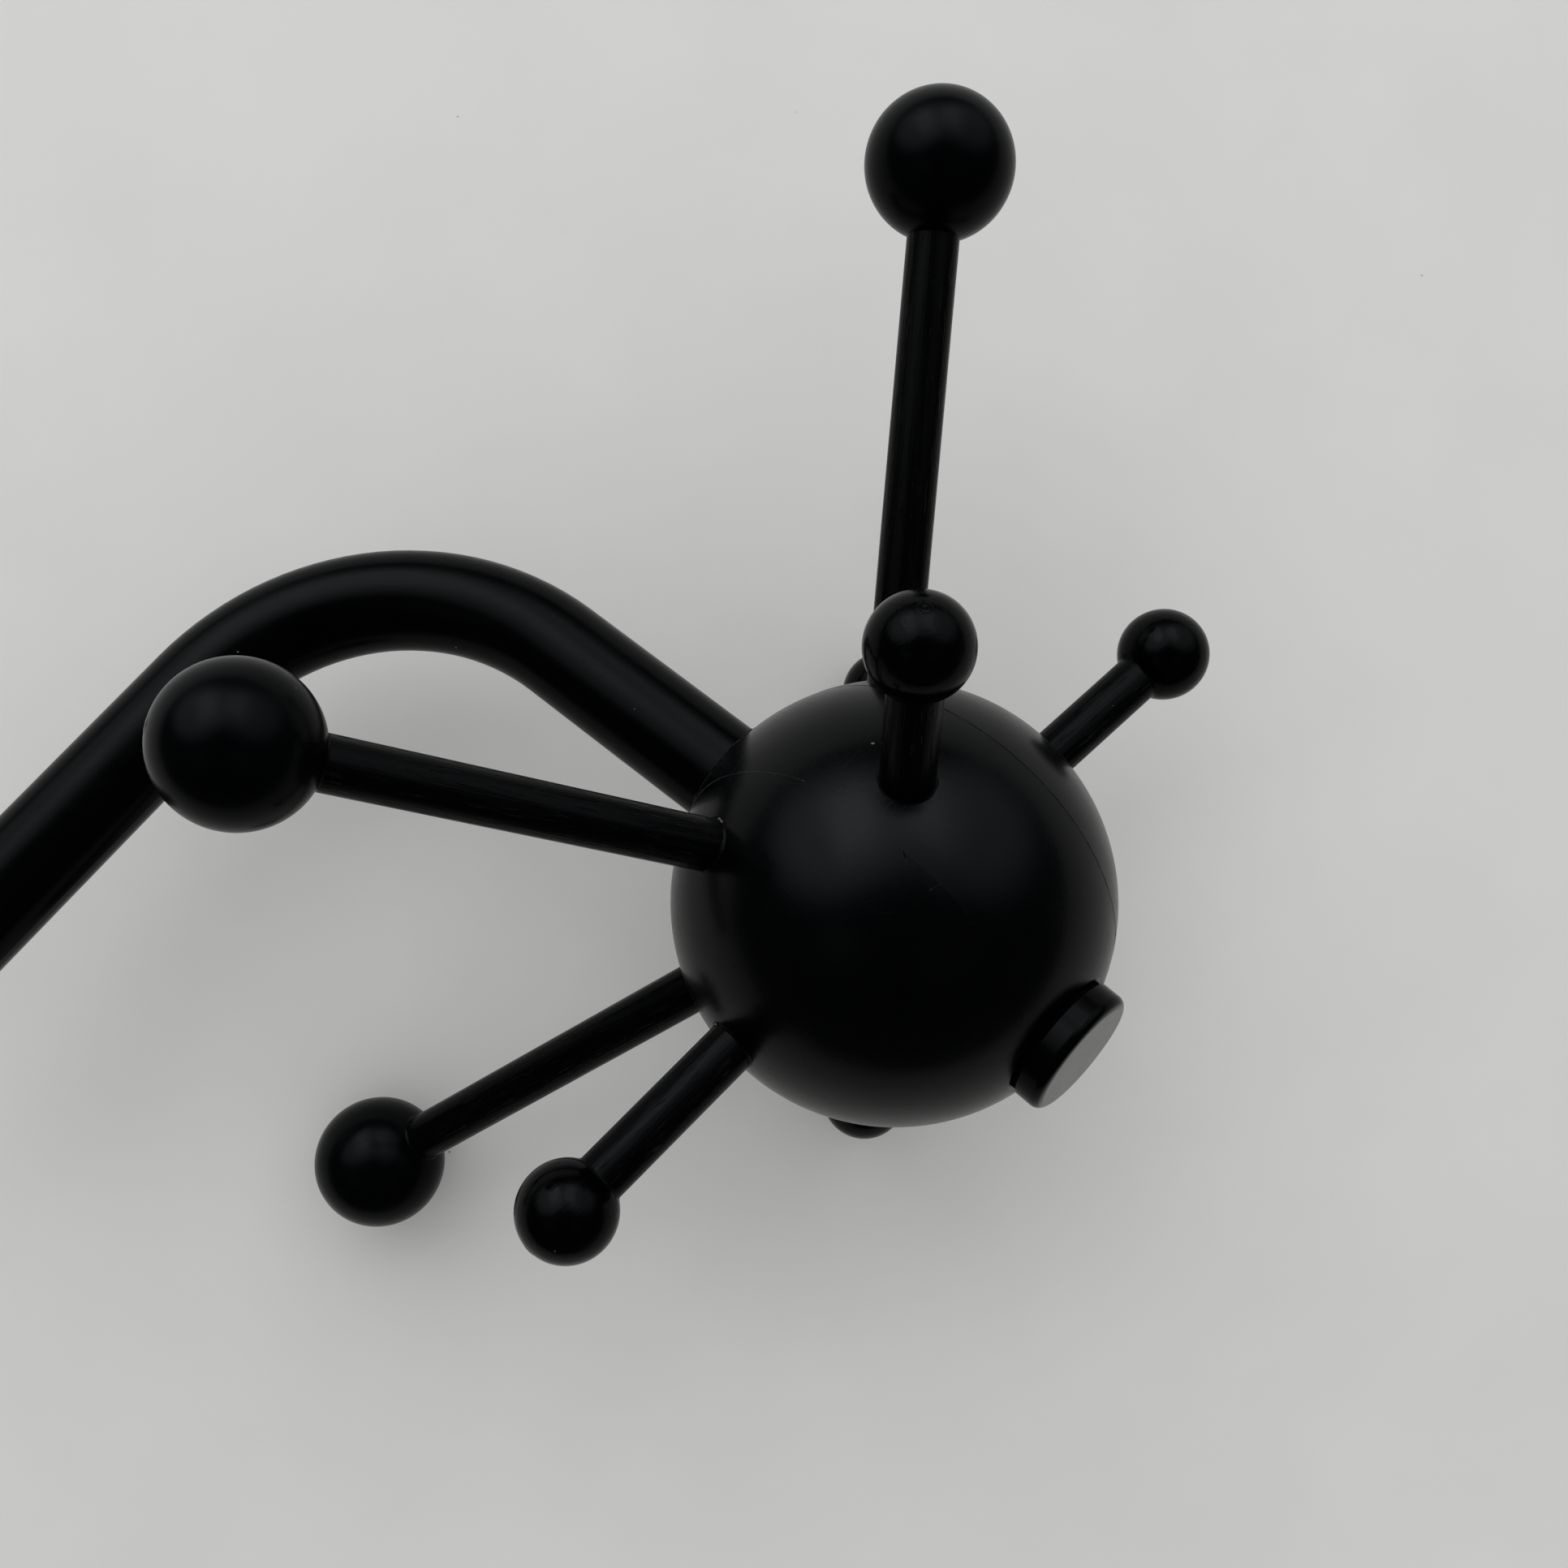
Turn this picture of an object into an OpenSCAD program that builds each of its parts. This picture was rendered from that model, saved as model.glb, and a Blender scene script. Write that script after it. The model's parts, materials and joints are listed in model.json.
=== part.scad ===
// Ball hub with eight ball-tipped spokes, turned and clamped on the end of a bent tube arm.
// Millimetres. +Z is up. The object stands on three of its balls, whose undersides lie at Z = 0.

/* [Hub] */
// Diameter of the wooden ball hub
hub_d = 90; // [84:1:100]
// Height of the hub's centre above the floor
hub_height = 69; // [66:1:76]
// Thickness of the middle one of the three boards that the hub is turned from
board_t = 32; // [24:1:40]
// Turn of the boards about the arm's axis, in degrees
board_turn = -60; // [-90:1:90]

/* [Spokes] */
// Diameter of every dowel, over its paint
dowel_d = 10.4; // [8:0.1:12]
// Depth of the dowel sockets in the hub
hub_socket_depth = 18; // [12:1:20]
// Diameter of the small balls
small_ball_d = 19.8; // [18:0.2:24]
// Depth of the dowel sockets in the small balls
small_socket_depth = 10; // [6:1:12]
// Diameter of the large balls
large_ball_d = 29.5; // [26:0.5:34]
// Depth of the dowel sockets in the large balls
large_socket_depth = 14; // [8:1:16]

/* [Arm] */
// Outside diameter of the tube
tube_d = 22; // [20:0.5:25]
// Wall of the tube
tube_wall = 1.5; // [1:0.5:2.5]
// Compass direction of the arm where it leaves the hub, in degrees
arm_compass = 142.5; // [130:0.5:155]
// Rise of the arm where it leaves the hub, in degrees (negative slopes down)
arm_rise = -14; // [-20:1:-10]
// Distance from the hub's centre to the square corner that the bend rounds off
corner_reach = 147; // [140:1:175]
// Turn of the bend about the arm's first leg, in degrees
bend_turn = 101.5; // [90:0.5:110]
// Radius of the bend at the tube's centreline
bend_r = 56; // [50:1:75]
// Length of the straight leg after the bend
free_leg = 110; // [80:5:150]

/* [Clamp] */
// Compass direction of the clamp's axis, from the hub's centre to the cap, in degrees
cap_compass = -40; // [-50:1:-30]
// Rise of the clamp's axis from the hub's centre to the cap, in degrees
cap_rise = 23; // [14:1:30]
// Diameter of the round clamp cap
cap_d = 27; // [26:0.5:30]
// Thickness of the clamp cap
cap_t = 5.4; // [5.2:0.2:9]
// Radius of the rounding round the cap's face
cap_round = 2; // [1:0.5:3]
// Diameter of the rubber washer under the cap
washer_d = 26; // [22:0.5:27]
// Thickness of the rubber washer
washer_t = 1.2; // [0.6:0.1:2]
// Diameter of the flat on the hub that the washer sits on
flat_d = 28; // [28:0.5:32]
// Diameter of the stud that holds the arm, the hub and the cap together
stud_d = 8; // [7:0.5:9]
// Diameter of the ball on the stud's inner end, which the arm's end holds
stud_ball_d = 12; // [11.5:0.5:13]
// Gap all round between parts that turn in one another
running_gap = 0.05; // [0.02:0.01:0.1]

/* [Hidden] */
$fn = 96;

// Where the hub's centre stands, so that the origin is under the middle of the object.
hub_at = [78, -41, hub_height];

hub_r = hub_d / 2;
large_foot_z = large_ball_d / 2 - hub_height;
small_foot_z = small_ball_d / 2 - hub_height;

// A spoke is [ball centre, aim point, ball diameter, socket depth in the ball]. Its dowel runs from
// the ball towards the aim point, which lies near the hub's centre. Both are taken from that centre.
function long_spoke(ball, aim) = [ball, aim, large_ball_d, large_socket_depth];
function short_spoke(ball, aim) = [ball, aim, small_ball_d, small_socket_depth];

spoke_back = long_spoke([8, 144, 19], [-4, 0, 2]);
spoke_high = long_spoke([-114, 28, 61], [2, 3, 4]);
spoke_left_foot = long_spoke([-115, -62, large_foot_z], [-4, 3, 3]);
spoke_upper = short_spoke([0, 45, 57], [-1, -8, 11]);
spoke_right = short_spoke([61, 53, -22], [-1, -1, -6]);
spoke_front = short_spoke([-63, -57, 24], [-1, 3, 5]);
spoke_front_foot = short_spoke([-2, -48, small_foot_z], [0, 0, 0]);
spoke_back_foot = short_spoke([3, 48, small_foot_z], [0, 0, 0]);

SPOKES = [
    spoke_back, spoke_high, spoke_left_foot, spoke_upper,
    spoke_right, spoke_front, spoke_front_foot, spoke_back_foot
];

function spoke_ball(spoke) = spoke[0];
function spoke_aim(spoke) = spoke[1];
function spoke_ball_r(spoke) = spoke[2] / 2;
function spoke_ball_socket(spoke) = spoke[3];
function spoke_dir(spoke) =
    let (run = spoke_ball(spoke) - spoke_aim(spoke)) run / norm(run);
// Distance from the aim point, along the dowel, to where it comes out of the hub.
function spoke_exit(spoke) =
    let (aim = spoke_aim(spoke), along = aim * spoke_dir(spoke))
    sqrt(along * along + hub_r * hub_r - aim * aim) - along;
function spoke_root(spoke) = spoke_exit(spoke) - hub_socket_depth;
function spoke_tip(spoke) =
    norm(spoke_ball(spoke) - spoke_aim(spoke)) - spoke_ball_r(spoke) + spoke_ball_socket(spoke);

// Along the arm's axis, counted from the hub's centre; the arm leaves on the positive side.
tube_seat = 12;
insert_from = -7;
insert_to = 28;
// Clearance round parts that don't touch, and the mouth that keeps the stud's ball in the arm's end.
clear_gap = 0.3;
ball_mouth_d = stud_ball_d - 1;

// Along the clamp's axis, counted from the hub's centre; the cap is on the positive side.
cap_flat = sqrt(hub_r * hub_r - flat_d * flat_d / 4);
cap_back = cap_flat + washer_t;
cap_insert_d = 12;
cap_insert_t = 4.4;
stud_end = cap_back + cap_insert_t - 0.4;
bend_angle = 90;
bend_start = corner_reach - bend_r;
bore_d = tube_d - 2 * tube_wall;

module at_hub() { translate(hub_at) children(); }

// Puts Z along the arm's axis, with the hub's centre at the origin.
module on_arm_axis() { at_hub() rotate([0, 90 - arm_rise, arm_compass]) children(); }

// Puts Z along the clamp's axis, which isn't quite in line with the arm's.
module on_clamp_axis() { at_hub() rotate([0, 90 - cap_rise, cap_compass]) children(); }

// Puts Z along a spoke, with its aim point at the origin.
module on_spoke(spoke) {
    run = spoke_dir(spoke);
    at_hub()
        translate(spoke_aim(spoke))
            rotate([0, acos(run.z), atan2(run.y, run.x)])
                children();
}

module hub_drillings() {
    past = 10;
    on_arm_axis() {
        // Socket of the tube
        translate([0, 0, tube_seat])
            cylinder(h = hub_r + past - tube_seat, r = tube_d / 2 + running_gap);
        // Room for the end of the arm's insert
        translate([0, 0, insert_from - 1])
            cylinder(h = tube_seat - insert_from + 2, r = bore_d / 2 + clear_gap);
    }
    on_clamp_axis() {
        // Hole of the stud
        cylinder(h = hub_r, r = stud_d / 2 + running_gap);
        // Flat that the washer sits on
        translate([0, 0, cap_flat])
            cylinder(h = past, d = flat_d + 2);
    }
    for (spoke = SPOKES)
        on_spoke(spoke)
            translate([0, 0, spoke_root(spoke)])
                cylinder(h = hub_socket_depth + past, d = dowel_d);
}

// The slice of the hub between two distances from its centre, square to the boards.
module hub_board(from, to) {
    difference() {
        intersection() {
            at_hub() sphere(d = hub_d);
            on_arm_axis()
                rotate([0, 0, board_turn])
                    translate([from, -hub_r, -hub_r])
                        cube([to - from, hub_d, hub_d]);
        }
        hub_drillings();
    }
}

module hub_middle_board() { color("#1b1d20") hub_board(-board_t / 2, board_t / 2); }

module hub_right_cheek() { color("#1d1f22") hub_board(board_t / 2, hub_r); }

module hub_left_cheek() { color("#1a1c1f") hub_board(-hub_r, -board_t / 2); }

module dowel(spoke) {
    color("#141516")
        on_spoke(spoke)
            translate([0, 0, spoke_root(spoke)])
                cylinder(h = spoke_tip(spoke) - spoke_root(spoke), d = dowel_d);
}

module ball(spoke) {
    color("#202226")
        difference() {
            at_hub() translate(spoke_ball(spoke)) sphere(r = spoke_ball_r(spoke));
            on_spoke(spoke)
                translate([0, 0, spoke_exit(spoke)])
                    cylinder(h = spoke_tip(spoke) - spoke_exit(spoke), d = dowel_d);
        }
}

module tube_ring() {
    difference() {
        circle(d = tube_d);
        circle(d = bore_d);
    }
}

module arm_tube() {
    color("#232427")
        on_arm_axis()
            rotate([0, 0, bend_turn]) {
                translate([0, 0, tube_seat])
                    linear_extrude(bend_start - tube_seat) tube_ring();
                translate([bend_r, 0, bend_start]) {
                    rotate([90, 0, 180])
                        rotate_extrude(angle = bend_angle)
                            translate([bend_r, 0]) tube_ring();
                    rotate([0, bend_angle, 0])
                        translate([-bend_r, 0, 0])
                            linear_extrude(free_leg) tube_ring();
                }
            }
}

module arm_insert() {
    color("#b9bcc0")
        on_arm_axis()
            difference() {
                translate([0, 0, insert_from])
                    cylinder(h = insert_to - insert_from, d = bore_d);
                sphere(r = stud_ball_d / 2 + clear_gap);
                translate([0, 0, insert_from - 1])
                    cylinder(h = 1 - insert_from, d = ball_mouth_d);
            }
}

module clamp_stud() {
    color("#9a9da2")
        on_clamp_axis() {
            cylinder(h = stud_end, d = stud_d);
            sphere(d = stud_ball_d);
        }
}

module clamp_cap() {
    face_r = cap_d / 2 - cap_round;
    color("#2a2c30")
        on_clamp_axis()
            translate([0, 0, cap_back])
                difference() {
                    rotate_extrude() {
                        square([face_r, cap_t]);
                        square([cap_d / 2, cap_t - cap_round]);
                        translate([face_r, cap_t - cap_round]) circle(r = cap_round, $fn = 48);
                    }
                    translate([0, 0, -1]) cylinder(h = cap_insert_t + 1, d = cap_insert_d);
                }
}

module cap_insert() {
    color("#b08d4a")
        on_clamp_axis()
            translate([0, 0, cap_back])
                difference() {
                    cylinder(h = cap_insert_t, d = cap_insert_d);
                    translate([0, 0, -1]) cylinder(h = cap_insert_t + 2, d = stud_d);
                }
}

module cap_washer() {
    color("#0b0b0c")
        on_clamp_axis()
            translate([0, 0, cap_flat])
                difference() {
                    cylinder(h = washer_t, d = washer_d);
                    translate([0, 0, -1]) cylinder(h = washer_t + 2, r = stud_d / 2 + clear_gap);
                }
}

hub_middle_board();
hub_left_cheek();
hub_right_cheek();
dowel(spoke_back);  // dowel_back
dowel(spoke_high);  // dowel_high
dowel(spoke_left_foot);  // dowel_left_foot
dowel(spoke_upper);  // dowel_upper
dowel(spoke_right);  // dowel_right
dowel(spoke_front);  // dowel_front
dowel(spoke_front_foot);  // dowel_front_foot
dowel(spoke_back_foot);  // dowel_back_foot
ball(spoke_back);  // ball_back
ball(spoke_high);  // ball_high
ball(spoke_left_foot);  // ball_left_foot
ball(spoke_upper);  // ball_upper
ball(spoke_right);  // ball_right
ball(spoke_front);  // ball_front
ball(spoke_front_foot);  // ball_front_foot
ball(spoke_back_foot);  // ball_back_foot
arm_tube();
arm_insert();
clamp_stud();
clamp_cap();
cap_insert();
cap_washer();
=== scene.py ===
import json
import math

import bmesh
import bpy
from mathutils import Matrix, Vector, noise


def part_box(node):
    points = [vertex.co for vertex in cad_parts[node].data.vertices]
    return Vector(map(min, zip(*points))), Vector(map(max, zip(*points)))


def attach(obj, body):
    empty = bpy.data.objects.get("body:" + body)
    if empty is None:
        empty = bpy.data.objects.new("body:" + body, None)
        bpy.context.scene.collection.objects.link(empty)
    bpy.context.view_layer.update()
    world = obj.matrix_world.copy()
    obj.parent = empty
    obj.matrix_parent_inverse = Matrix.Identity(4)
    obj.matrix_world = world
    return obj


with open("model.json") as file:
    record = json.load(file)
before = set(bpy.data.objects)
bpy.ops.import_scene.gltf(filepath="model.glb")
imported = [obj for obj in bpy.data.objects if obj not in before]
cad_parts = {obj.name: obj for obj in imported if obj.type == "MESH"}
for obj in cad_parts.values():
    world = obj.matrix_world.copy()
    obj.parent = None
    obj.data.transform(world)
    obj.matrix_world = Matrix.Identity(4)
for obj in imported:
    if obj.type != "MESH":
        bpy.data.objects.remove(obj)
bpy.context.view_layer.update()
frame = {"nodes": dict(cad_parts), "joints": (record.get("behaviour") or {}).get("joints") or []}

MM = 0.001
HUB = Vector(frame["joints"][0]["pos_m"])
ARM_AXIS = Vector(frame["joints"][0]["axis"]).normalized()
CAP_AXIS = Vector(frame["joints"][1]["axis"]).normalized()
HUB_R = 45 * MM
DOWEL_R = 5.2 * MM
TUBE_R = 11 * MM
CAP_FACE = 49.3 * MM
# the hub's boards meet in two planes, this far each side of its centre
BOARD_NORMAL = Vector((0.623, 0.613, -0.485)).normalized()
BOARD_HALF = 16 * MM
SPOKES = ["back", "high", "left_foot", "upper", "right", "front", "front_foot", "back_foot"]
LARGE = ["back", "high", "left_foot"]


def middle(node):
    low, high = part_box(node)
    return (low + high) / 2


def radius(node):
    low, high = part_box(node)
    return (high - low).x / 2


# ---------------------------------------------------------------- camera

camera_data = bpy.data.cameras.new("camera")
camera_data.sensor_width = 36
camera_data.lens = 38.57
camera_data.clip_start = 0.01
camera = bpy.data.objects.new("camera", camera_data)
camera.location = HUB + Vector((-28.3, 10.7, 341.3)) * MM
camera.rotation_euler = (math.radians(2.2), math.radians(-1.05), 0)
bpy.context.scene.collection.objects.link(camera)
bpy.context.scene.camera = camera


# ---------------------------------------------------------------- light

def towards(azimuth, from_vertical):
    """The direction at an azimuth from +X towards +Y and an angle from straight up, in degrees."""
    azimuth = math.radians(azimuth)
    tilt = math.radians(from_vertical)
    return Vector((
        math.cos(azimuth) * math.sin(tilt),
        math.sin(azimuth) * math.sin(tilt),
        math.cos(tilt),
    ))


def panel(name, azimuth, from_vertical, width, height, strength, colour):
    """A soft rectangular light, seen by matt surfaces only, that faces the hub."""
    way = towards(azimuth, from_vertical)
    data = bpy.data.lights.new(name, "AREA")
    data.shape = "RECTANGLE"
    data.size = width
    data.size_y = height
    data.energy = strength * width * height
    data.color = colour
    light = bpy.data.objects.new(name, data)
    light.location = HUB + way * PANEL_DISTANCE
    light.rotation_euler = way.to_track_quat("Z", "Y").to_euler()
    light.visible_camera = False
    light.visible_glossy = False
    bpy.context.scene.collection.objects.link(light)
    return light


PANEL_DISTANCE = 6.0
panel("light_left", 118, 50, 5.4, 5.8, 3.3, (1.0, 0.99, 0.97))
panel("light_right", 55, 54, 5.0, 5.0, 2.5, (0.985, 0.99, 0.99))

# soft windows of the room that the gloss shows: azimuth, angle from vertical, the
# half-widths at which each is full and at which it ends (all degrees), and brightness
WINDOWS = [
    (132, 50, 14, 40, 1.95),
    (48, 52, 12, 42, 1.25),
    (90, 46, 14, 40, 0.85),
    (212, 38, 4, 15, 0.20),
    (312, 32, 4, 15, 0.12),
]
ROOM_DIM = 0.05
# two tall panes with a dark bar between them: the bar's azimuth in degrees, then sines of
# angles: bar to pane's middle, half-widths where a pane is full and ends, foot and head
BAR_AZIMUTH = 99
PANE_OFF = 0.27
PANE_HALF = (0.13, 0.21)
PANE_FOOT = (0.34, 0.44)
PANE_HEAD = (0.88, 0.74)
PANE_BRIGHT = 1.35


def make_world():
    """An even pale surround for the floor and the eye, and a dim room with windows in the gloss."""
    world = bpy.data.worlds.new("surround")
    world.use_nodes = True
    world.cycles.sampling_method = "NONE"
    tree = world.node_tree
    tree.nodes.clear()

    def math_node(operation, a, b):
        made = tree.nodes.new("ShaderNodeMath")
        made.operation = operation
        for socket, value in zip(made.inputs, (a, b)):
            if isinstance(value, bpy.types.NodeSocket):
                tree.links.new(value, socket)
            else:
                socket.default_value = value
        return made.outputs[0]

    def along(direction):
        made = tree.nodes.new("ShaderNodeVectorMath")
        made.operation = "DOT_PRODUCT"
        tree.links.new(look, made.inputs[0])
        made.inputs[1].default_value = direction
        return made.outputs["Value"]

    def ramp(value, low, high, top):
        made = tree.nodes.new("ShaderNodeMapRange")
        made.interpolation_type = "SMOOTHSTEP"
        tree.links.new(value, made.inputs[0])
        made.inputs[1].default_value = low
        made.inputs[2].default_value = high
        made.inputs[4].default_value = top
        return made.outputs[0]

    look = tree.nodes.new("ShaderNodeTexCoord").outputs["Generated"]
    glow = ROOM_DIM
    for azimuth, from_vertical, full, end, bright in WINDOWS:
        near = along(towards(azimuth, from_vertical))
        low = math.cos(math.radians(end))
        high = math.cos(math.radians(full))
        glow = math_node("ADD", ramp(near, low, high, bright), glow)
    across = math_node("ABSOLUTE", along(towards(BAR_AZIMUTH + 90, 90)), 0)
    across = math_node("ABSOLUTE", math_node("SUBTRACT", across, PANE_OFF), 0)
    up = along((0, 0, 1))
    ahead = along(towards(BAR_AZIMUTH, 90))
    pane = ramp(across, PANE_HALF[1], PANE_HALF[0], 1.0)
    pane = math_node("MULTIPLY", pane, ramp(up, *PANE_FOOT, 1.0))
    pane = math_node("MULTIPLY", pane, ramp(up, *PANE_HEAD, 1.0))
    pane = math_node("MULTIPLY", pane, ramp(ahead, 0.0, 0.1, PANE_BRIGHT))
    glow = math_node("ADD", glow, pane)

    def background(colour, strength):
        made = tree.nodes.new("ShaderNodeBackground")
        made.inputs["Color"].default_value = colour
        if isinstance(strength, bpy.types.NodeSocket):
            tree.links.new(strength, made.inputs["Strength"])
        else:
            made.inputs["Strength"].default_value = strength
        return made.outputs["Background"]

    def choose(factor, a, b):
        made = tree.nodes.new("ShaderNodeMixShader")
        tree.links.new(factor, made.inputs["Fac"])
        tree.links.new(a, made.inputs[1])
        tree.links.new(b, made.inputs[2])
        return made.outputs["Shader"]

    path = tree.nodes.new("ShaderNodeLightPath")
    soft = background((1.0, 1.0, 0.985, 1), 0.54)
    eye = background((0.61, 0.615, 0.605, 1), 1.0)
    room = background((0.94, 1.0, 1.05, 1), glow)
    seen = choose(path.outputs["Is Camera Ray"], soft, eye)
    seen = choose(path.outputs["Is Glossy Ray"], seen, room)
    out = tree.nodes.new("ShaderNodeOutputWorld")
    tree.links.new(seen, out.inputs["Surface"])
    bpy.context.scene.world = world


make_world()
bpy.context.scene.view_settings.view_transform = "Standard"


# ---------------------------------------------------------------- materials

class Graph:
    """A material's node tree, with short names for the nodes that are used here."""

    def __init__(self, name):
        self.material = bpy.data.materials.new(name)
        self.material.use_nodes = True
        self.tree = self.material.node_tree
        self.shader = self.tree.nodes["Principled BSDF"]
        self.place = self.node("TexCoord").outputs["Object"]

    def node(self, kind, inputs=(), **settings):
        made = self.tree.nodes.new("ShaderNode" + kind)
        for key, value in settings.items():
            setattr(made, key, value)
        for key, value in dict(inputs).items():
            self.plug(value, made.inputs[key])
        return made

    def plug(self, value, socket):
        if isinstance(value, bpy.types.NodeSocket):
            self.tree.links.new(value, socket)
        else:
            socket.default_value = value

    def calc(self, operation, a, b=0.0):
        return self.node("Math", {0: a, 1: b}, operation=operation).outputs[0]

    def dot(self, direction, at=None):
        ends = {0: at or self.place, 1: tuple(direction)}
        return self.node("VectorMath", ends, operation="DOT_PRODUCT").outputs["Value"]

    def span(self, value, low, high, to_low=0.0, to_high=1.0):
        ends = {0: value, 1: low, 2: high, 3: to_low, 4: to_high}
        return self.node("MapRange", ends).outputs[0]

    def cloud(self, size, detail=2.0, rough=0.5, at=None, bend=0.0):
        """Soft noise whose lumps are about size across, in metres."""
        ends = {"Vector": at or self.place, "Scale": 1 / size, "Detail": detail, "Roughness": rough}
        ends["Distortion"] = bend
        return self.node("TexNoise", ends).outputs["Fac"]

    def along(self, direction, stretch):
        """Places in a frame whose Z runs along direction, drawn out by stretch that way."""
        u, v, d = frame_along(direction)
        ends = {"X": self.dot(u), "Y": self.dot(v), "Z": self.dot(d / stretch)}
        return self.node("CombineXYZ", ends).outputs[0]

    def blend(self, factor, a, b):
        made = self.node("Mix", data_type="RGBA")
        self.plug(factor, made.inputs[0])
        self.plug(a, made.inputs[6])
        self.plug(b, made.inputs[7])
        return made.outputs[2]

    def bump(self, height, depth, under=None):
        """Height from 0 to 1 stands for depth metres."""
        ends = {"Height": height, "Distance": depth, "Strength": 1.0}
        if under is not None:
            ends["Normal"] = under
        return self.node("Bump", ends).outputs["Normal"]

    def hairlines(self, size, width, patch, amount, at=None):
        """Fine curved scratches, gathered in patches."""
        line = self.cloud(size, 1.0, 0.5, at, 1.5)
        line = self.calc("ABSOLUTE", self.calc("SUBTRACT", line, 0.5))
        line = self.span(line, 0.0, width, 1.0, 0.0)
        where = self.span(self.cloud(patch, 2.0, 0.6, at), amount, amount + 0.06)
        return self.calc("MULTIPLY", line, where)

    def specks(self, spacing, share, size):
        """Small round specks, one in some of the cells of a loose grid."""
        cells = self.node("TexVoronoi", {"Vector": self.place, "Scale": 1 / spacing})
        near = self.span(cells.outputs["Distance"], size * 0.6, size, 1.0, 0.0)
        draw = self.node("SeparateColor", {0: cells.outputs["Color"]}).outputs[0]
        return self.calc("MULTIPLY", near, self.calc("LESS_THAN", draw, share))

    def finish(self, colour, roughness, normal=None, **values):
        self.plug(colour, self.shader.inputs["Base Color"])
        self.plug(roughness, self.shader.inputs["Roughness"])
        if normal is not None:
            self.plug(normal, self.shader.inputs["Normal"])
        for key, value in values.items():
            self.shader.inputs[key.replace("_", " ")].default_value = value
        return self.material


def frame_along(direction):
    """Three directions at right angles, the last along direction."""
    d = Vector(direction).normalized()
    u = d.cross(Vector((0, 0, 1)))
    if u.length < 0.1:
        u = d.cross(Vector((1, 0, 0)))
    u.normalize()
    return u, d.cross(u), d


DUST = (0.14, 0.14, 0.13, 1)


def hub_paint():
    """Satin black brushed on three boards, sanded between coats."""
    g = Graph("hub_paint")
    grain_at = g.along(BOARD_NORMAL.cross(ARM_AXIS), 14)
    mottle = g.cloud(0.012, 3.0, 0.55)
    fine = g.cloud(0.0006, 2.0, 0.5)
    broad = g.cloud(0.009, 2.0, 0.5)
    grain = g.cloud(0.0011, 3.0, 0.6, grain_at)
    scratch = g.hairlines(0.013, 0.0035, 0.02, 0.56)
    dust = g.specks(0.005, 0.03, 0.035)
    colour = g.blend(mottle, (0.0003, 0.0005, 0.0007, 1), (0.0007, 0.0009, 0.0012, 1))
    colour = g.blend(dust, colour, DUST)
    roughness = g.span(mottle, 0.3, 0.7, 0.20, 0.27)
    roughness = g.calc("ADD", roughness, g.span(fine, 0.3, 0.7, -0.03, 0.03))
    roughness = g.calc("ADD", roughness, g.calc("MULTIPLY", scratch, 0.12))
    normal = g.bump(fine, 5e-6)
    normal = g.bump(broad, 26e-6, normal)
    normal = g.bump(grain, 5e-6, normal)
    normal = g.bump(scratch, -9e-6, normal)
    normal = g.bump(dust, 40e-6, normal)
    return g.finish(colour, roughness, normal, IOR=1.16)


def large_ball_paint(name, pole):
    """Satin black on a turned ball: faint turning rings round its pole, and fine orange peel."""
    g = Graph(name)
    mottle = g.cloud(0.008, 3.0, 0.55)
    fine = g.cloud(0.0005, 2.0, 0.5)
    rings = g.cloud(0.0007, 2.0, 0.5, g.along(pole, 0.35))
    scratch = g.hairlines(0.008, 0.004, 0.011, 0.56)
    dust = g.specks(0.0042, 0.10, 0.05)
    colour = g.blend(mottle, (0.0003, 0.0005, 0.0008, 1), (0.0007, 0.0010, 0.0013, 1))
    colour = g.blend(dust, colour, DUST)
    roughness = g.span(mottle, 0.3, 0.7, 0.21, 0.27)
    roughness = g.calc("ADD", roughness, g.calc("MULTIPLY", scratch, 0.12))
    normal = g.bump(fine, 5e-6)
    normal = g.bump(rings, 4e-6, normal)
    normal = g.bump(scratch, -9e-6, normal)
    normal = g.bump(dust, 40e-6, normal)
    return g.finish(colour, roughness, normal, IOR=1.125)


def small_ball_paint(name, pole):
    """Glossier black laid on by hand: brush drag and lumps over the wood's grain."""
    g = Graph(name)
    drag = g.cloud(0.0009, 3.0, 0.6, g.along(pole, 7), 0.6)
    lumps = g.cloud(0.004, 2.0, 0.5)
    fine = g.cloud(0.0005, 2.0, 0.5)
    mottle = g.cloud(0.006, 3.0, 0.6)
    dust = g.specks(0.0034, 0.07, 0.045)
    colour = g.blend(mottle, (0.0003, 0.0004, 0.0006, 1), (0.0007, 0.0008, 0.0010, 1))
    colour = g.blend(dust, colour, DUST)
    roughness = g.span(mottle, 0.3, 0.7, 0.11, 0.22)
    normal = g.bump(drag, 50e-6)
    normal = g.bump(lumps, 60e-6, normal)
    normal = g.bump(fine, 4e-6, normal)
    normal = g.bump(dust, 40e-6, normal)
    return g.finish(colour, roughness, normal, IOR=1.13)


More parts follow.
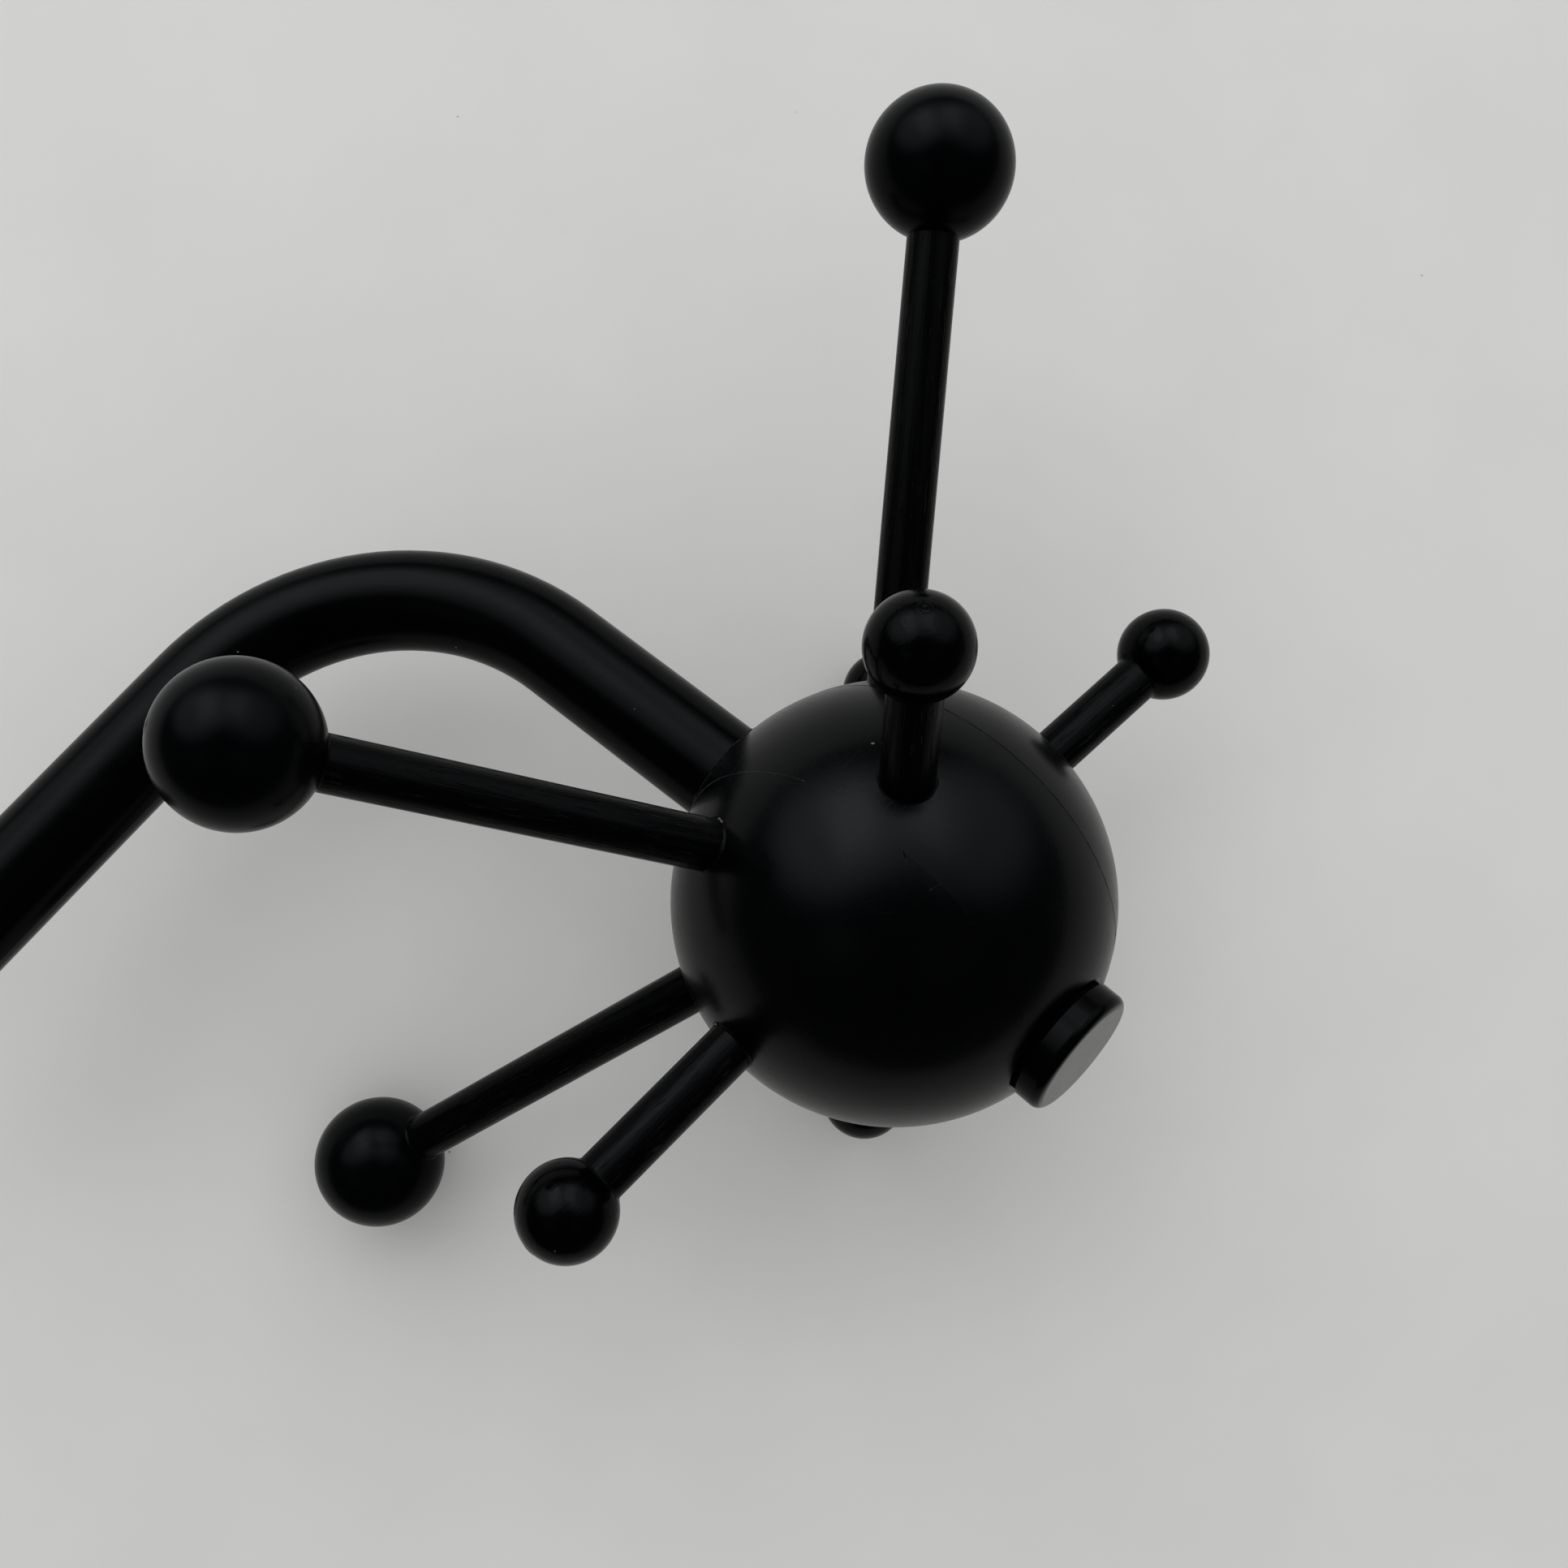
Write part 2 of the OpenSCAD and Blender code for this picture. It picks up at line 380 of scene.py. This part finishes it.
def dowel_paint(name, direction):
    """Gloss black that has sunk into the open grain of a beech dowel."""
    g = Graph(name)
    at = g.along(direction, 26)
    streaks = g.cloud(0.0010, 4.0, 0.6, at)
    pores = g.span(g.cloud(0.00055, 2.0, 0.5, g.along(direction, 12)), 0.62, 0.70)
    lumps = g.cloud(0.0035, 2.0, 0.5)
    dust = g.specks(0.0030, 0.07, 0.045)
    colour = g.blend(streaks, (0.0003, 0.0004, 0.0005, 1), (0.0010, 0.0011, 0.0012, 1))
    colour = g.blend(dust, colour, DUST)
    roughness = g.span(streaks, 0.35, 0.65, 0.17, 0.33)
    normal = g.bump(streaks, 140e-6)
    normal = g.bump(pores, -110e-6, normal)
    normal = g.bump(lumps, 16e-6, normal)
    normal = g.bump(dust, 40e-6, normal)
    return g.finish(colour, roughness, normal, IOR=1.125)


def tube_coat():
    """Smooth satin coat on the metal tube, with a little orange peel and a few rubs."""
    g = Graph("tube_coat")
    peel = g.cloud(0.0011, 2.0, 0.5)
    broad = g.cloud(0.016, 2.0, 0.5)
    mottle = g.cloud(0.010, 3.0, 0.6)
    scratch = g.hairlines(0.015, 0.003, 0.025, 0.55)
    dust = g.specks(0.005, 0.12, 0.05)
    colour = g.blend(mottle, (0.0003, 0.0004, 0.0005, 1), (0.0007, 0.0008, 0.0009, 1))
    colour = g.blend(dust, colour, DUST)
    roughness = g.span(mottle, 0.3, 0.7, 0.19, 0.26)
    roughness = g.calc("ADD", roughness, g.calc("MULTIPLY", scratch, 0.1))
    normal = g.bump(peel, 4e-6)
    normal = g.bump(broad, 14e-6, normal)
    normal = g.bump(scratch, -8e-6, normal)
    normal = g.bump(dust, 40e-6, normal)
    return g.finish(colour, roughness, normal, IOR=1.125)


def cap_plastic():
    """Moulded gloss plastic with fine handling marks on its flat face."""
    g = Graph("cap_plastic")
    mottle = g.cloud(0.006, 3.0, 0.6)
    wave = g.cloud(0.007, 1.0, 0.5)
    scratch = g.hairlines(0.007, 0.004, 0.008, 0.50)
    dust = g.specks(0.0026, 0.14, 0.05)
    colour = g.blend(dust, (0.0006, 0.0007, 0.0008, 1), DUST)
    roughness = g.span(mottle, 0.3, 0.7, 0.12, 0.2)
    roughness = g.calc("ADD", roughness, g.calc("MULTIPLY", scratch, 0.14))
    normal = g.bump(wave, 8e-6)
    normal = g.bump(scratch, -4e-6, normal)
    normal = g.bump(dust, 30e-6, normal)
    height = g.calc("SUBTRACT", g.dot(CAP_AXIS), HUB.dot(CAP_AXIS))
    # the moulded side is duller than the flat face
    level = g.span(height, CAP_FACE - 0.4 * MM, CAP_FACE - 0.05 * MM, 0.04, 0.22)
    g.plug(level, g.shader.inputs["Specular IOR Level"])
    return g.finish(colour, roughness, normal, IOR=1.46)


def washer_rubber():
    g = Graph("washer_rubber")
    fine = g.cloud(0.0004, 3.0, 0.6)
    mottle = g.cloud(0.003, 2.0, 0.5)
    colour = g.blend(mottle, (0.0004, 0.0004, 0.0005, 1), (0.0010, 0.0010, 0.0011, 1))
    roughness = g.span(mottle, 0.3, 0.7, 0.72, 0.85)
    return g.finish(colour, roughness, g.bump(fine, 12e-6), IOR=1.04)


def metal(name, light, dark, low, high, axis):
    """Turned metal: fine rings round its axis and a little tarnish."""
    g = Graph(name)
    rings = g.cloud(0.0005, 2.0, 0.6, g.along(axis, 0.3))
    stain = g.cloud(0.004, 3.0, 0.6)
    colour = g.blend(stain, dark, light)
    roughness = g.span(stain, 0.3, 0.7, low, high)
    return g.finish(colour, roughness, g.bump(rings, 12e-6), Metallic=1.0)


def wet_paint(name, ior):
    """The thick glossy paint and glue that gathers in the corners."""
    g = Graph(name)
    lumps = g.cloud(0.0008, 3.0, 0.6)
    mottle = g.cloud(0.0022, 2.0, 0.6)
    colour = g.blend(mottle, (0.0004, 0.0005, 0.0006, 1), (0.0014, 0.0015, 0.0015, 1))
    roughness = g.span(mottle, 0.3, 0.7, 0.16, 0.36)
    return g.finish(colour, roughness, g.bump(lumps, 40e-6), IOR=ior)


def glue_chip():
    """Dried glue and bare wood that the paint missed."""
    g = Graph("glue_chip")
    mottle = g.cloud(0.0006, 3.0, 0.6)
    colour = g.blend(mottle, (0.055, 0.050, 0.036, 1), (0.22, 0.20, 0.15, 1))
    roughness = g.span(mottle, 0.3, 0.7, 0.45, 0.7)
    return g.finish(colour, roughness, g.bump(mottle, 30e-6), IOR=1.45)


def seam_shadow():
    """The open glue line: a dull crack that paint doesn't bridge."""
    g = Graph("seam_line")
    mottle = g.cloud(0.0016, 3.0, 0.6)
    colour = g.blend(mottle, (0.0002, 0.0002, 0.0003, 1), (0.0006, 0.0006, 0.0007, 1))
    roughness = g.span(mottle, 0.3, 0.7, 0.80, 0.95)
    return g.finish(colour, roughness, g.bump(mottle, 20e-6), IOR=1.05)


def wear(node, material):
    for slot in frame["nodes"][node].material_slots:
        slot.material = material


hub_coat = hub_paint()
for node in ["hub_middle_board", "hub_left_cheek", "hub_right_cheek"]:
    wear(node, hub_coat)

spoke_way = {}
ball_coat = {}
for spoke in SPOKES:
    ball = middle("ball_" + spoke)
    rod = middle("dowel_" + spoke)
    spoke_way[spoke] = (ball - rod).normalized()
    make = large_ball_paint if spoke in LARGE else small_ball_paint
    ball_coat[spoke] = make("ball_paint_" + spoke, spoke_way[spoke])
    wear("ball_" + spoke, ball_coat[spoke])
    wear("dowel_" + spoke, dowel_paint("dowel_paint_" + spoke, spoke_way[spoke]))

wear("arm_tube", tube_coat())
wear("clamp_cap", cap_plastic())
wear("cap_washer", washer_rubber())
STEEL = ((0.56, 0.56, 0.55, 1), (0.36, 0.35, 0.34, 1), 0.25, 0.42)
BRASS = ((0.72, 0.52, 0.24, 1), (0.48, 0.33, 0.14, 1), 0.22, 0.40)
wear("arm_insert", metal("insert_metal", *STEEL, ARM_AXIS))
wear("clamp_stud", metal("stud_steel", *STEEL, CAP_AXIS))
wear("cap_insert", metal("insert_brass", *BRASS, CAP_AXIS))
JOINT_PAINT = wet_paint("joint_paint", 1.12)
RIDGE_PAINT = wet_paint("ridge_paint", 1.30)
GLUE_CHIP = glue_chip()
SEAM_LINE = seam_shadow()


# ---------------------------------------------------------------- pieces

def solid(name, rings, material, body, closed=True):
    """A closed skin through rings of points, each ring a closed outline.
    The rings join end to end, or else their two ends are filled."""
    mesh = bpy.data.meshes.new(name)
    bm = bmesh.new()
    rows = [[bm.verts.new(point) for point in ring] for ring in rings]
    count = len(rows[0])
    steps = len(rows) if closed else len(rows) - 1
    for i in range(steps):
        a = rows[i]
        b = rows[(i + 1) % len(rows)]
        for k in range(count):
            n = (k + 1) % count
            bm.faces.new((a[k], a[n], b[n], b[k]))
    if not closed:
        bm.faces.new(rows[0])
        bm.faces.new(rows[-1])
    bmesh.ops.recalc_face_normals(bm, faces=bm.faces)
    bm.to_mesh(mesh)
    bm.free()
    mesh.shade_smooth()
    mesh.materials.append(material)
    piece = bpy.data.objects.new(name, mesh)
    bpy.context.scene.collection.objects.link(piece)
    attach(piece, body)
    return piece


def waver(place, size, seed):
    """Smooth noise between about -1 and 1 at a point, for ragged edges."""
    return noise.noise(place / size + Vector((seed * 17.3, seed * 5.1, seed * 9.7)))


def meeting(centre, sphere_r, start, way, rod_r, side):
    """Where a line along a rod's skin comes out of a sphere."""
    q = start + side * rod_r - centre
    half = q.dot(way)
    return centre + q + way * (-half + math.sqrt(half * half - q.length_squared + sphere_r ** 2))


def corner_bead(name, centre, sphere_r, start, way, rod_r, reach, seed):
    """Paint that has gathered where a rod goes into a sphere: a hollow-faced, ragged ring."""
    u, v, d = frame_along(way)
    rings = []
    steps = 144
    for i in range(steps):
        turn = 2 * math.pi * i / steps
        side = u * math.cos(turn) + v * math.sin(turn)
        corner = meeting(centre, sphere_r, start, d, rod_r, side)
        long_wave = 0.45 * waver(corner, 2.6 * MM, seed)
        short_wave = 0.25 * waver(corner, 0.7 * MM, seed)
        up = max(reach * (1 + long_wave + short_wave), 0.12 * MM)
        long_wave = 0.50 * waver(corner, 3.1 * MM, seed + 3)
        short_wave = 0.25 * waver(corner, 0.8 * MM, seed + 3)
        out = max(reach * (1 + long_wave + short_wave), 0.12 * MM)
        top = corner + d * up - side * 0.02 * MM
        foot = corner + side * out
        foot = centre + (foot - centre).normalized() * (sphere_r - 0.01 * MM)
        pull = corner + (side + d) * min(up, out) * 0.16
        ring = []
        for k in range(7):
            t = k / 6
            ring.append(top * (1 - t) ** 2 + pull * 2 * t * (1 - t) + foot * t ** 2)
        deep = corner - side * 0.25 * MM - d * 0.35 * MM
        ring.append(deep)
        rings.append(ring)
    return solid(name, rings, JOINT_PAINT, "hub")


for number, spoke in enumerate(SPOKES):
    way = spoke_way[spoke]
    rod = middle("dowel_" + spoke)
    ball = middle("ball_" + spoke)
    ball_r = radius("ball_" + spoke)
    corner_bead("hub_bead_" + spoke, HUB, HUB_R, rod, way, DOWEL_R,
                0.42 * MM, number)
    corner_bead("ball_bead_" + spoke, ball, ball_r, rod, -way, DOWEL_R,
                0.35 * MM, number + 20)


# the lathe's mark is where the spoke would come out of its ball, but on the upper ball the
# photo shows it nearer the middle
MARK_WAY = dict(spoke_way)
MARK_WAY["upper"] = Vector((0.012, 0.556, 0.830)).normalized()


def pole_mark(spoke):
    """The lathe's centre mark on the ball's far side: two low rings round a dimple."""
    centre = middle("ball_" + spoke)
    ball_r = radius("ball_" + spoke)
    u, v, d = frame_along(MARK_WAY[spoke])
    # distance from the pole along the skin, and height above it, in millimetres
    profile = [(0.05, -0.03), (0.30, 0.00), (0.50, 0.05), (0.66, 0.06), (0.82, 0.03),
               (0.98, 0.01), (1.12, 0.04), (1.26, 0.05), (1.40, 0.02), (1.55, -0.06)]
    rings = []
    for i in range(48):
        turn = 2 * math.pi * i / 48
        side = u * math.cos(turn) + v * math.sin(turn)
        ring = []
        for reach, height in profile:
            angle = reach * MM / ball_r
            level = ball_r + height * MM
            ring.append(centre + (d * math.cos(angle) + side * math.sin(angle)) * level)
        angle = 0.8 * MM / ball_r
        ring.append(centre + (d * math.cos(angle) + side * math.sin(angle)) * (ball_r - 0.3 * MM))
        rings.append(ring)
    return solid("pole_mark_" + spoke, rings, ball_coat[spoke], "hub")


for spoke in SPOKES:
    pole_mark(spoke)


# the way that the hub's sanded patch faces
SANDED = Vector((0.15, -0.35, 0.93)).normalized()


def seam(name, offset, width, height, material, seed, sanded):
    """A ragged line round the hub where two boards meet. It sinks into the paint where
    the cosine of the angle from SANDED is over sanded, so a sanded of 2 leaves it whole."""
    u, v, d = frame_along(BOARD_NORMAL)
    ring_r = math.sqrt(HUB_R ** 2 - offset ** 2)
    rings = []
    steps = 900
    for i in range(steps):
        turn = 2 * math.pi * i / steps
        side = u * math.cos(turn) + v * math.sin(turn)
        spot = HUB + d * offset + side * ring_r
        drift = 0.05 * MM * waver(spot, 4 * MM, seed)
        long_wave = 0.28 * waver(spot, 1.5 * MM, seed + 1)
        short_wave = 0.14 * waver(spot, 0.5 * MM, seed + 2)
        half = width * (0.5 + long_wave + short_wave)
        long_wave = 1.3 * waver(spot, 5 * MM, seed + 4)
        short_wave = 0.5 * waver(spot, 0.8 * MM, seed + 5)
        rise = height * (1 + long_wave + short_wave)
        half = max(half, 0.02 * MM)
        gone = ((spot - HUB).normalized().dot(SANDED) - sanded) / 0.1
        rise = rise - 0.2 * MM * min(max(gone, 0), 1)
        sunk = -0.03 * MM
        ring = []
        for across, level in [(-1, sunk), (-0.4, rise), (0.4, rise), (1, sunk), (0, 5 * sunk)]:
            spot = HUB + d * (offset + drift + across * half) + side * ring_r
            ring.append(HUB + (spot - HUB).normalized() * (HUB_R + level))
        rings.append(ring)
    return solid(name, rings, material, "hub")


seam("seam_right", BOARD_HALF, 0.36 * MM, 0.018 * MM, SEAM_LINE, 5, 2)
seam("seam_left", -BOARD_HALF + 2 * MM, 0.26 * MM, 0.045 * MM, RIDGE_PAINT, 9, 0.44)


# the crust's section: share of its reach, and height in millimetres
CRUST = [(0.0, 0.12), (0.12, 0.36), (0.35, 0.12), (0.62, 0.20), (0.86, 0.34), (1.0, -0.05)]


def entry_crust(name, reach, seed):
    """Ragged paint round the arm's socket, clear of the tube so that the hub can turn on it."""
    u, v, d = frame_along(ARM_AXIS)
    inner = TUBE_R + 0.08 * MM
    rings = []
    steps = 360
    for i in range(steps):
        turn = 2 * math.pi * i / steps
        side = u * math.cos(turn) + v * math.sin(turn)
        lip = meeting(HUB, HUB_R, HUB, d, inner, side)
        rough = waver(lip, 2.2 * MM, seed)
        small = waver(lip, 0.6 * MM, seed + 2)
        edge = reach * (1 + 0.5 * rough + 0.2 * small)
        ring = [lip - d * 0.4 * MM]
        for share, level in CRUST:
            spot = lip + side * edge * share
            lump = 0.10 * waver(spot, 0.9 * MM, seed + 7) * (1 if 0 < share < 1 else 0)
            height = max(level * (1 + 0.6 * rough) + lump, -0.05)
            ring.append(HUB + (spot - HUB).normalized() * (HUB_R + height * MM))
        spot = lip + side * edge * 0.5
        ring.append(HUB + (spot - HUB).normalized() * (HUB_R - 0.4 * MM))
        rings.append(ring)
    return solid(name, rings, JOINT_PAINT, "hub")


entry_crust("entry_crust", 2.6 * MM, 11)


def shard(name, at, out, along, length, width, height, seed):
    """A small irregular chip of glue that lies on the hub: out is the way it faces."""
    out = out.normalized()
    along = (along - out * along.dot(out)).normalized()
    across = out.cross(along)
    rings = []
    steps = 14
    for i in range(steps + 1):
        t = i / steps
        swell = math.sin(math.pi * min(max(t, 0.03), 0.97)) ** 0.6
        centre = at + along * length * (t - 0.5)
        centre = centre + across * width * 0.25 * waver(centre, 0.5 * MM, seed)
        ring = []
        for k in range(8):
            turn = 2 * math.pi * k / 8
            over = across * math.cos(turn)
            rise = out * math.sin(turn)
            wide = width * 0.5 * swell * (1 + 0.5 * waver(centre + over * MM, 0.4 * MM, seed + 1))
            tall = height * swell * (1 + 0.5 * waver(centre + rise * MM, 0.4 * MM, seed + 2))
            ring.append(centre + over * wide + rise * tall)
        rings.append(ring)
    return solid(name, rings, GLUE_CHIP, "hub", closed=False)


def chip_at_foot(name, spoke, turn, length, seed, lift=0.25):
    """A pale chip of glue at the foot of a spoke; turn is the place round it, in degrees."""
    way = spoke_way[spoke]
    u, v, d = frame_along(way)
    turn = math.radians(turn)
    side = u * math.cos(turn) + v * math.sin(turn)
    foot = meeting(HUB, HUB_R, middle("dowel_" + spoke), d, DOWEL_R, side)
    at = foot + (side + d) * lift * MM
    along = d.cross(side)
    return shard(name, at, side + d, along, length, 0.35 * MM, 0.16 * MM, seed)


def turn_towards(spoke, target):
    """The place round a spoke, in degrees, that faces a direction."""
    u, v, d = frame_along(spoke_way[spoke])
    return math.degrees(math.atan2(Vector(target).dot(v), Vector(target).dot(u)))


# pale chips of dried glue at the feet of two spokes, on the side that faces up
upward = turn_towards("high", (0.25, 0.95, 0.3))
chip_at_foot("glue_chip_high_a", "high", upward, 1.1 * MM, 1)
chip_at_foot("glue_chip_high_b", "high", upward - 14, 0.7 * MM, 2, 0.45)
upward = turn_towards("front", (-0.75, 0.55, 0.3))
chip_at_foot("glue_chip_front_a", "front", upward, 1.3 * MM, 3)
chip_at_foot("glue_chip_front_b", "front", upward + 16, 0.8 * MM, 4, 0.4)

# one pale fleck beside the upper spoke
fleck_way = Vector((-6.3, 30.1, 33.0)).normalized()
shard("fleck", HUB + fleck_way * (HUB_R + 0.02 * MM), fleck_way, Vector((1, 0.2, 0)),
      0.75 * MM, 0.5 * MM, 0.10 * MM, 6)


# ---------------------------------------------------------------- floor

FLOOR_R = 4


def make_floor():
    mesh = bpy.data.meshes.new("floor")
    bm = bmesh.new()
    bmesh.ops.create_circle(bm, cap_ends=True, radius=FLOOR_R, segments=96)
    bm.to_mesh(mesh)
    bm.free()
    floor = bpy.data.objects.new("floor", mesh)
    bpy.context.scene.collection.objects.link(floor)
    g = Graph("floor_white")
    mottle = g.cloud(0.06, 3.0, 0.55)
    fine = g.cloud(0.0012, 2.0, 0.6)
    dust = g.specks(0.012, 0.05, 0.035)
    colour = g.blend(g.span(mottle, 0.3, 0.7), (0.768, 0.772, 0.762, 1), (0.802, 0.806, 0.796, 1))
    colour = g.blend(dust, colour, (0.45, 0.45, 0.44, 1))
    mesh.materials.append(g.finish(colour, 0.55, g.bump(fine, 8e-6)))
    return floor


make_floor()
